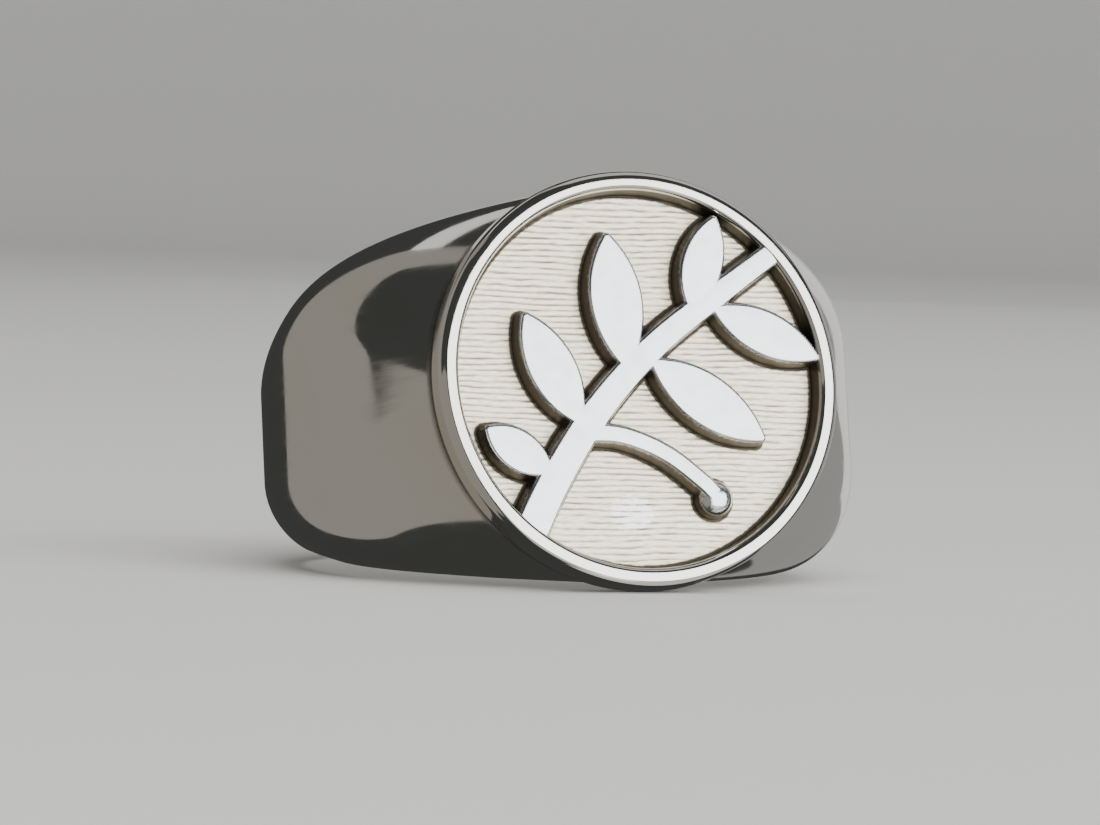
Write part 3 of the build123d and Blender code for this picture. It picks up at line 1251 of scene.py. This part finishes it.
@dataclass(frozen=True)
class LinedGround:
    """Satin ground with fine lines across it, darker in the bottoms of the lines as painted shade, dark along
    the foot of the relief from patina and painted shade, rubbed bright low down.
    """

    name: str = "lined_satin_ground"
    satin: Colour = (0.95, 0.85, 0.67, 1)
    groove: Colour = (0.66, 0.57, 0.43, 1)
    tarnish: Colour = (0.11, 0.095, 0.072, 1)
    rubbed: Colour = (0.93, 0.94, 0.96, 1)
    rubbed_spot: tuple[float, float] = (-0.35, -5.5)
    rubbed_reach: float = 1.25
    rubbed_flatness: float = 2.2
    rubbed_share: float = 0.75
    roughness: float = 0.36
    line_roughness: float = 0.14
    tarnish_and_shade_roughness: float = 0.2
    rubbed_polish: float = 0.12
    pit_depth: float = 0.004

    def make(self, level: float, depth: float) -> bpy.types.Material:
        """Build the material.

        Args:
            level: Height of the ground.
            depth: Depth of its lines.

        Returns:
            The material.
        """
        pen = Pen(self.name)
        place = pen.bench()
        x, y, z = pen.split(place)
        grain = pen.noise(place, scale=7.0, detail=4.0)
        # Painted shade: the satin turns to the groove colour towards the bottoms of the lines. The fine
        # streaks mixed in are a pattern.
        deep = ((level - z) / depth).between(1.0, 3.2)
        fine = pen.noise(pen.scaled(place, (3.2, 20.0, 1.0)), detail=3.0).between(0.4, 0.7)
        lines = (deep * 0.7).larger(fine * 0.6)
        off_x = x - self.rubbed_spot[0]
        off_y = y - self.rubbed_spot[1]
        away = (off_x * off_x + off_y * off_y * self.rubbed_flatness) / self.rubbed_reach**2
        shine = (away + (grain - 0.5) * 1.6).between(1.0, 0.25)
        # Painted shade with patina along the foot of the relief and the rim.
        dark = pen.tarnished_and_shaded(grain, 0.3, 0.42, 0.72)
        colour = pen.mix(lines, self.satin, self.groove)
        colour = pen.mix(shine * self.rubbed_share, colour, self.rubbed)
        roughness = (self.roughness + lines * self.line_roughness + dark * self.tarnish_and_shade_roughness
                     - shine * self.rubbed_polish)
        pits = pen.bump(pen.noise(pen.scaled(place, (3.0, 30.0, 3.0))), self.pit_depth)
        return pen.finish(pen.mix(dark, colour, self.tarnish), roughness, pits)


@dataclass(frozen=True)
class ReliefPolish:
    """Cool bright polish on the tops of the relief, with walls darkened by patina and painted shade."""

    name: str = "bright_relief_silver"
    bright: Colour = (0.93, 0.965, 0.985, 1)
    cloud: Colour = (0.86, 0.885, 0.895, 1)
    black: Colour = (0.12, 0.105, 0.08, 1)
    roughness: float = 0.2
    cloud_roughness: float = 0.05
    tarnish_and_shade_roughness: float = 0.25
    rub_depth: float = 0.0018

    def make(self) -> bpy.types.Material:
        """Build the material."""
        pen = Pen(self.name)
        place = pen.bench()
        cloud = pen.noise(place, scale=1.6, detail=4.0).between(0.35, 0.75)
        # Painted shade with patina: the walls turn to the black colour.
        dark = pen.tarnished_and_shaded(pen.noise(place, scale=8.0, detail=3.0), 0.22, 0.52, 0.72)
        colour = pen.mix(cloud, self.bright, self.cloud)
        roughness = self.roughness + cloud * self.cloud_roughness + dark * self.tarnish_and_shade_roughness
        rub = pen.bump(pen.noise(pen.stretched(place, (3.0, 40.0, 3.0), (0, 0, 0.5))), self.rub_depth)
        return pen.finish(pen.mix(dark, colour, self.black), roughness, rub)


# ---------------------------------------------------------------- table, light and camera


@dataclass(frozen=True)
class Softbox:
    """A soft light, given by its direction from the ring in bench axes and its size in metres.

    Attributes:
        mirrored: Whether the metal shows it.
        lights_table: Whether it lights the table.
    """

    name: str
    towards: tuple[float, float, float]
    distance: float
    width: float
    height: float
    brightness: float
    colour: tuple[float, float, float] = (1, 1, 1)
    mirrored: bool = True
    lights_table: bool = True

    def hang(self, bench: Bench) -> None:
        """Hang the light and point it at the ring."""
        light = bpy.data.lights.new(self.name, "AREA")
        light.shape = "RECTANGLE"
        light.size = self.width
        light.size_y = self.height
        light.energy = self.brightness * math.pi * self.width * self.height
        light.color = self.colour
        holder = bpy.data.objects.new(self.name, light)
        away = (bench.matrix.to_3x3() @ Vector(self.towards)).normalized()
        holder.location = bench.point(0, 0, 0) + away * self.distance
        holder.rotation_euler = away.to_track_quat("Z", "Y").to_euler()
        holder.visible_camera = False
        holder.visible_glossy = self.mirrored
        holder.visible_diffuse = self.lights_table
        bpy.context.scene.collection.objects.link(holder)


SOFTBOXES = [
    Softbox("front_window", (0.34, -0.12, 0.93), distance=0.55, width=0.86, height=0.62, brightness=3.5,
            colour=(0.97, 0.99, 1)),
    Softbox("right_wall", (0.927, 0.0, -0.375), distance=0.45, width=0.62, height=0.55, brightness=0.25),
    Softbox("ceiling_strip", (-0.265, 0.927, -0.265), distance=0.42, width=0.26, height=0.08, brightness=0.7),
    Softbox("ceiling_panel", (0.44, 0.89, 0.05), distance=0.45, width=0.36, height=0.46, brightness=0.5,
            lights_table=False),
    Softbox("table_glow", (0.36, -0.88, 0.30), distance=0.45, width=0.44, height=0.42, brightness=0.6,
            colour=(1, 0.975, 0.93), lights_table=False),
    Softbox("table_front", (-0.08, -0.70, 0.71), distance=0.45, width=0.32, height=0.24, brightness=0.6,
            colour=(1, 0.975, 0.93), lights_table=False),
    Softbox("back_window", (0.56, 0.30, -0.78), distance=0.6, width=0.42, height=0.34, brightness=0.55,
            lights_table=False),
    Softbox("ceiling", (0.0, 1.0, 0.1), distance=0.95, width=1.1, height=1.1, brightness=1.3,
            colour=(1, 0.995, 0.98), mirrored=False),
    Softbox("backdrop_wash", (0.0, 0.55, 0.83), distance=0.95, width=1.0, height=0.6, brightness=2.6,
            colour=(1, 1, 0.99), mirrored=False),
]


@dataclass(frozen=True)
class CurvedWall:
    """A dim wall of light curved round the ring's left side, with an opening in it.

    Its edges are directions from the ring in degrees: round to the left from the face, and up.
    """

    bench: Bench
    distance: float = 0.42
    round_from: float = 28.0
    round_to: float = 154.0
    lowest: float = -46.0
    highest: float = 61.0
    corner: float = 38.0
    opening: tuple[float, float, float, float] = (20.0, 103.0, 10.0, 53.0)
    opening_corner: float = 9.0
    mesh_step: float = 5.0
    brightness: float = 0.28
    colour: tuple[float, float, float] = (1, 0.955, 0.87)

    def make(self) -> None:
        """Make the wall, which only shows as a reflection."""
        border = rounded_box(self.round_from, self.round_to, self.lowest, self.highest, self.corner)
        hole = rounded_box(*self.opening, self.opening_corner)
        across = np.arange(self.round_from, self.round_to, self.mesh_step)
        upwards = np.arange(self.lowest, self.highest, self.mesh_step)
        grid = np.stack(np.meshgrid(across, upwards), axis=-1).reshape(-1, 2)
        loops = [list(range(len(border))), list(range(len(border), len(border) + len(hole)))]
        flat, _, faces, _, _, owners = delaunay_2d_cdt(
            [Vector(point) for point in [*border, *hole, *grid]], [], loops, 0, 1e-5, True)
        kept = [face for face, owner in zip(faces, owners) if list(owner) == [0]]
        turns = np.radians(np.array([tuple(point) for point in flat]))
        places = np.stack([-np.sin(turns[:, 0]) * np.cos(turns[:, 1]), np.sin(turns[:, 1]),
                           np.cos(turns[:, 0]) * np.cos(turns[:, 1])], axis=1) * self.distance / MM
        mesh = bpy.data.meshes.new("left_wall")
        mesh.from_pydata(places.tolist(), [], kept)
        mesh.transform(self.bench.matrix)
        pen = Pen("wall_glow")
        pen.shader.inputs["Base Color"].default_value = (0, 0, 0, 1)
        pen.shader.inputs["Specular IOR Level"].default_value = 0.0
        pen.shader.inputs["Emission Color"].default_value = (*self.colour, 1)
        pen.shader.inputs["Emission Strength"].default_value = self.brightness
        mesh.materials.append(pen.material)
        wall = add_object(mesh)
        wall.visible_camera = False
        wall.visible_diffuse = False
        wall.visible_shadow = False


def rounded_box(left: float, right: float, low: float, high: float, corner: float) -> np.ndarray:
    """Points round a box with round corners, anticlockwise."""
    points = []
    steps = 12
    for x, y, start in ((right - corner, high - corner, 0), (left + corner, high - corner, 90),
                        (left + corner, low + corner, 180), (right - corner, low + corner, 270)):
        for step in range(steps + 1):
            turn = math.radians(start + 90 * step / steps)
            points.append((x + corner * math.cos(turn), y + corner * math.sin(turn)))
    return np.array(points)


@dataclass(frozen=True)
class Studio:
    """A pale table that curves up into a backdrop, soft light and the camera."""

    bench: Bench
    face_height: float
    table_radius: float = 0.9
    backdrop_bend: float = 0.45
    backdrop_height: float = 1.3
    bend_steps: int = 16
    round_steps: int = 96
    camera_left: float = 20.6
    camera_below: float = 10.5
    camera_roll: float = -2.8
    camera_distance: float = 255.0
    lens: float = 205.0
    sensor: float = 36.0
    aim: tuple[float, float, float] = (-2.3, -0.6, 8.0)

    def table(self) -> None:
        """Make the pale table and its round backdrop."""
        centre, middle = (0.001, 0.0), (0.3, 0.0)
        bends = [math.radians(90 * step / self.bend_steps) for step in range(self.bend_steps + 1)]
        profile = [centre, middle]
        profile += [(self.table_radius + self.backdrop_bend * math.sin(bend),
                     self.backdrop_bend * (1 - math.cos(bend))) for bend in bends]
        profile.append((self.table_radius + self.backdrop_bend, self.backdrop_height))
        turns = [2 * math.pi * step / self.round_steps for step in range(self.round_steps)]
        work = bmesh.new()
        rings = [[work.verts.new((radius * math.cos(turn), radius * math.sin(turn), height))
                  for turn in turns] for radius, height in profile]
        for inner, outer in zip(rings, rings[1:]):
            for index in range(self.round_steps):
                after = (index + 1) % self.round_steps
                work.faces.new((inner[index], outer[index], outer[after], inner[after]))
        work.faces.new(rings[0])
        mesh = bpy.data.meshes.new("table")
        work.to_mesh(mesh)
        work.free()
        mesh.shade_smooth()
        pen = Pen("pale_table")
        pen.shader.inputs["Base Color"].default_value = (0.74, 0.735, 0.72, 1)
        pen.shader.inputs["Roughness"].default_value = 0.9
        pen.shader.inputs["Specular IOR Level"].default_value = 0.1
        mesh.materials.append(pen.material)
        table = add_object(mesh)
        table.visible_glossy = False
        table.visible_shadow = False

    def lights(self) -> None:
        """Hang the soft lights and set the dim room."""
        for box in SOFTBOXES:
            box.hang(self.bench)
        CurvedWall(self.bench).make()
        world = bpy.data.worlds.new("dim_room")
        world.use_nodes = True
        sky = next(node for node in world.node_tree.nodes if node.type == "BACKGROUND")
        sky.inputs["Color"].default_value = (0.045, 0.047, 0.046, 1)
        bpy.context.scene.world = world

    def camera(self) -> None:
        """Place the camera to the left of the face's normal and a little below it."""
        left = math.radians(self.camera_left)
        below = math.radians(self.camera_below)
        sideways = -math.sin(left)
        down = -math.sin(below)
        out = math.sqrt(1 - sideways**2 - down**2)
        face = Vector((0, 0, self.face_height))
        stand = face + Vector((sideways, down, out)) * self.camera_distance
        location = self.bench.matrix @ stand
        target = self.bench.point(*self.aim)
        lens = bpy.data.cameras.new("camera")
        lens.lens = self.lens
        lens.sensor_width = self.sensor
        lens.clip_start = 0.01
        holder = bpy.data.objects.new("camera", lens)
        holder.location = location
        up = self.bench.matrix.to_3x3() @ Vector((0, 1, 0))
        back = (location - target).normalized()
        right = up.cross(back).normalized()
        turn = Matrix((right, back.cross(right), back)).transposed()
        roll = Matrix.Rotation(math.radians(self.camera_roll), 3, "Z")
        holder.rotation_euler = (turn @ roll).to_euler()
        bpy.context.scene.collection.objects.link(holder)
        bpy.context.scene.camera = holder

    def make(self) -> None:
        """Set up the table, the lights and the camera."""
        self.table()
        self.lights()
        self.camera()


def main() -> None:
    """Build the ring, its table and its light."""
    logging.basicConfig(level=logging.INFO, format="%(message)s")
    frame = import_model()
    nodes = frame["nodes"]
    bench = Bench.from_record(frame["record"])
    rim = BezelRim.from_frame(bench, nodes)
    Studio(bench, rim.crest_height).make()
    polish = HandPolish().make()
    Band.from_frame(bench, nodes).make(polish)
    rim.make(polish)
    relief = Relief.from_frame(bench, nodes)
    relief.make(ReliefPolish().make())
    plate = FacePlate.from_frame(bench, nodes)
    plate.make(LinedGround().make(plate.ground_height, plate.line_depth), relief)


if __name__ == "__main__":
    main()
